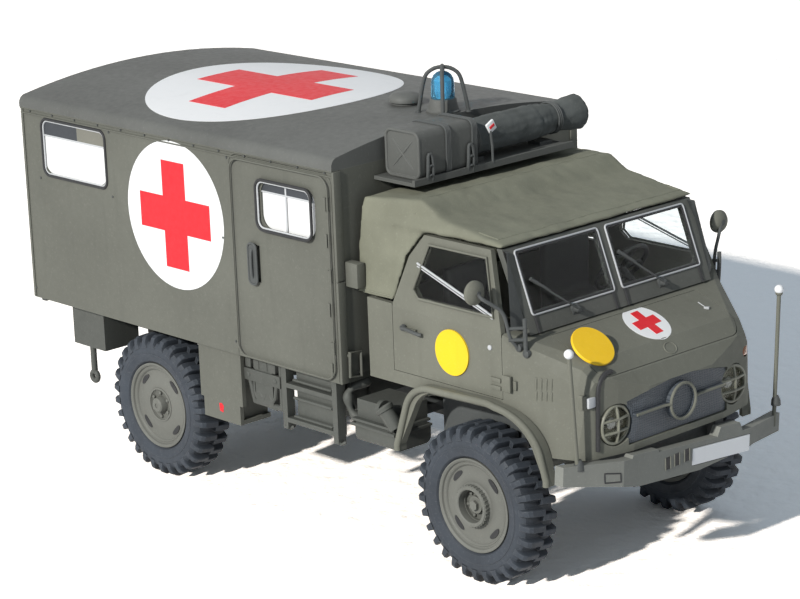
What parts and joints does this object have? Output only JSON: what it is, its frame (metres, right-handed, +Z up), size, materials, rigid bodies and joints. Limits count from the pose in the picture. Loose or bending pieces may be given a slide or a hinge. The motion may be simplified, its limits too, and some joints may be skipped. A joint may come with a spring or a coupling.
{
  "type": "scale model of a military ambulance truck",
  "caption": "Scale model of a military ambulance truck: forward cab with canvas top, tall box body with curved roof, and lugged wheels that roll.",
  "frame": {"origin": "on the ground under the middle of the model's length and width", "axes": "+X forward along the model's length, +Y to its left, +Z up"},
  "size_m": [0.1398, 0.0628, 0.0793],
  "materials": {
    "body_paint": "matt grey-olive paint on plastic",
    "chassis_paint": "dark matt olive paint",
    "canvas_paint": "moulded canvas, khaki-olive paint with paler patches",
    "cab_interior": "near-black matt paint",
    "tyre": "blue-black soft vinyl",
    "clear_pane": "clear styrene",
    "frosted_pane": "clear styrene, frosted white behind its lower part",
    "blue_lens": "clear blue plastic",
    "lamp_lens": "clear lens on a bright reflector",
    "white_plate": "white plate, blank"
  },
  "bodies": {
    "truck": {"battery_box": "body_paint", "beacon": "blue_lens", "beacon_guard": "body_paint", "bonnet": "body_paint", "box_bearers": "chassis_paint", "box_floor": "body_paint", "box_glass": "frosted_pane", "box_roof": "body_paint", "box_wall_front": "body_paint", "box_wall_left": "body_paint", "box_wall_rear": "body_paint", "box_wall_right": "body_paint", "cab_floor": "cab_interior", "cab_shell": "body_paint", "canvas_top": "canvas_paint", "chassis_frame": "chassis_paint", "coil_springs": "chassis_paint", "dashboard": "cab_interior", "door_glass": "clear_pane", "door_left": "body_paint", "door_right": "body_paint", "driveline": "chassis_paint", "engine_block": "chassis_paint", "front_axle": "chassis_paint", "front_bumper": "body_paint", "fuel_tank": "body_paint", "grille": "body_paint", "headlamps": "lamp_lens", "lamp_guards": "body_paint", "marker_rods": "body_paint", "mirrors": "body_paint", "mud_panels": "body_paint", "number_plate": "white_plate", "rear_axle": "chassis_paint", "rear_doors": "body_paint", "rear_lockers": "body_paint", "rolled_tarp": "canvas_paint", "roof_rack": "body_paint", "roof_vent": "body_paint", "seats": "cab_interior", "side_door": "body_paint", "side_step": "body_paint", "steering_wheel": "cab_interior", "stowage_can": "body_paint", "tool_bracket": "body_paint", "turn_lamps": "lamp_lens", "windscreen_frame": "body_paint", "windscreen_glass": "clear_pane", "wing_left": "body_paint", "wing_right": "body_paint"},
    "wheel_front_left": {"tyre_front_left": "tyre", "rim_front_left": "body_paint"},
    "wheel_front_right": {"tyre_front_right": "tyre", "rim_front_right": "body_paint"},
    "wheel_rear_left": {"tyre_rear_left": "tyre", "rim_rear_left": "body_paint"},
    "wheel_rear_right": {"tyre_rear_right": "tyre", "rim_rear_right": "body_paint"}
  },
  "joints": [
    {"name": "roll_front_left", "type": "hinge", "parent": "truck", "child": "wheel_front_left", "pos_m": [0.04635, 0.0232, 0.0134], "axis": [0, 1, 0], "continuous": true},
    {"name": "roll_front_right", "type": "hinge", "parent": "truck", "child": "wheel_front_right", "pos_m": [0.04635, -0.0232, 0.0134], "axis": [0, 1, 0], "continuous": true},
    {"name": "roll_rear_left", "type": "hinge", "parent": "truck", "child": "wheel_rear_left", "pos_m": [-0.03655, 0.0232, 0.0134], "axis": [0, 1, 0], "continuous": true},
    {"name": "roll_rear_right", "type": "hinge", "parent": "truck", "child": "wheel_rear_right", "pos_m": [-0.03655, -0.0232, 0.0134], "axis": [0, 1, 0], "continuous": true}
  ]
}
